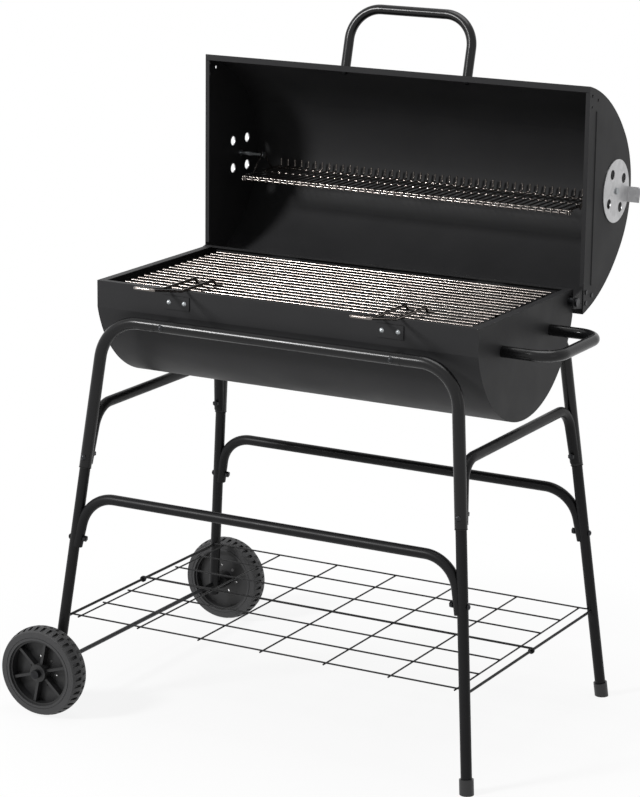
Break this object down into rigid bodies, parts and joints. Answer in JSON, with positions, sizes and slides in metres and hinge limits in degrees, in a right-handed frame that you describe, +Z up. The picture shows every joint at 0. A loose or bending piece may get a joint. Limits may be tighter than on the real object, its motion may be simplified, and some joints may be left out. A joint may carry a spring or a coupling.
{
  "type": "barrel charcoal grill",
  "caption": "Barrel charcoal grill with a hinged lid, warming rack, turning vents, lift-out grates, tube frame, wire shelf and wheels at one end.",
  "frame": {"origin": "the middle of the whole part's box on the floor, with the lid open", "axes": "+X along the barrel to the end with the side handle, +Y to the back, where the lid hinges, +Z up"},
  "size_m": [0.974, 0.7502, 1.2397],
  "materials": {
    "barrel_paint": "satin black heat-resistant paint on sheet steel",
    "frame_paint": "gloss black powder coat on steel tube",
    "shelf_paint": "satin black powder coat on steel wire",
    "black_fastener": "black zinc on steel",
    "hinge_paint": "satin black paint on steel plate",
    "cap_plastic": "moulded black plastic",
    "wheel_plastic": "moulded black plastic, satin",
    "tyre_plastic": "moulded black plastic with a matt tread",
    "zinc_plate": "bright zinc on steel",
    "galvanised": "galvanised sheet",
    "chrome_wire": "chromed steel wire",
    "bare_steel": "bare steel bar, dulled by heat"
  },
  "bodies": {
    "frame": {"firebox_shell": "barrel_paint", "firebox_end_left": "barrel_paint", "firebox_end_right": "barrel_paint", "front_rail": "frame_paint", "rear_rail": "frame_paint", "upper_leg_front_left": "frame_paint", "upper_leg_front_right": "frame_paint", "upper_leg_rear_left": "frame_paint", "upper_leg_rear_right": "frame_paint", "lower_leg_front_left": "frame_paint", "lower_leg_front_right": "frame_paint", "lower_leg_rear_left": "frame_paint", "lower_leg_rear_right": "frame_paint", "front_brace": "frame_paint", "rear_brace": "frame_paint", "left_brace": "frame_paint", "right_brace": "frame_paint", "foot_caps": "cap_plastic", "axle": "black_fastener", "axle_nuts": "black_fastener", "axle_spacers": "cap_plastic", "frame_bolts": "black_fastener", "frame_nuts": "black_fastener", "rail_spacers": "cap_plastic", "shelf_rod_left": "shelf_paint", "shelf_rod_right": "shelf_paint", "wire_shelf": "shelf_paint", "side_handle": "frame_paint", "side_handle_bolts": "black_fastener", "grate_brackets": "zinc_plate", "bracket_plates": "hinge_paint", "bracket_bolts": "zinc_plate", "coal_lugs": "hinge_paint", "hinge_pins": "black_fastener"},
    "lid": {"lid_skin": "barrel_paint", "lid_end_left": "barrel_paint", "lid_end_right": "barrel_paint", "lid_handle": "frame_paint", "lid_handle_bolts": "black_fastener", "hinge_arm_left": "hinge_paint", "hinge_arm_right": "hinge_paint", "hinge_arm_bolts": "black_fastener", "vent_pins": "zinc_plate"},
    "rack": {"rack_rails": "chrome_wire", "rack_wires": "chrome_wire", "rack_hangers": "chrome_wire"},
    "vent_left": {"vent_disc_left": "galvanised"},
    "vent_right": {"vent_disc_right": "galvanised"},
    "wheel_front": {"wheel_front_tyre": "tyre_plastic", "wheel_front_hub": "wheel_plastic"},
    "wheel_rear": {"wheel_rear_tyre": "tyre_plastic", "wheel_rear_hub": "wheel_plastic"},
    "cooking_grate": {"cooking_grate": "chrome_wire", "grate_handles": "chrome_wire"},
    "charcoal_grate": {"charcoal_grate": "bare_steel"}
  },
  "joints": [
    {"name": "lid_hinge", "type": "hinge", "parent": "frame", "child": "lid", "pos_m": [0.00502, 0.15005, 0.758], "axis": [-1, 0, 0], "range_deg": [-90, 0]},
    {"name": "rack_swing", "type": "hinge", "parent": "lid", "child": "rack", "pos_m": [0.00502, 0.30505, 0.933], "axis": [-1, 0, 0], "range_deg": [0, 90]},
    {"name": "vent_left_turn", "type": "hinge", "parent": "lid", "child": "vent_left", "pos_m": [-0.38499, 0.30505, 0.933], "axis": [-1, 0, 0], "range_deg": [0, 45]},
    {"name": "vent_right_turn", "type": "hinge", "parent": "lid", "child": "vent_right", "pos_m": [0.39502, 0.30505, 0.933], "axis": [-1, 0, 0], "range_deg": [-14, 31]},
    {"name": "wheel_front_spin", "type": "hinge", "parent": "frame", "child": "wheel_front", "pos_m": [-0.40502, -0.34495, 0.082], "axis": [0, 1, 0], "continuous": true},
    {"name": "wheel_rear_spin", "type": "hinge", "parent": "frame", "child": "wheel_rear", "pos_m": [-0.40502, 0.29505, 0.082], "axis": [0, 1, 0], "continuous": true},
    {"name": "cooking_grate_lift", "type": "slide", "parent": "frame", "child": "cooking_grate", "axis": [0, 0, 1], "range_m": [0, 0.12]},
    {"name": "charcoal_grate_lift", "type": "slide", "parent": "frame", "child": "charcoal_grate", "axis": [0, 0, 1], "range_m": [0, 0.05]}
  ],
  "couplings": [
    {"joint": "rack_swing", "follows": "lid_hinge", "ratio": -1}
  ]
}
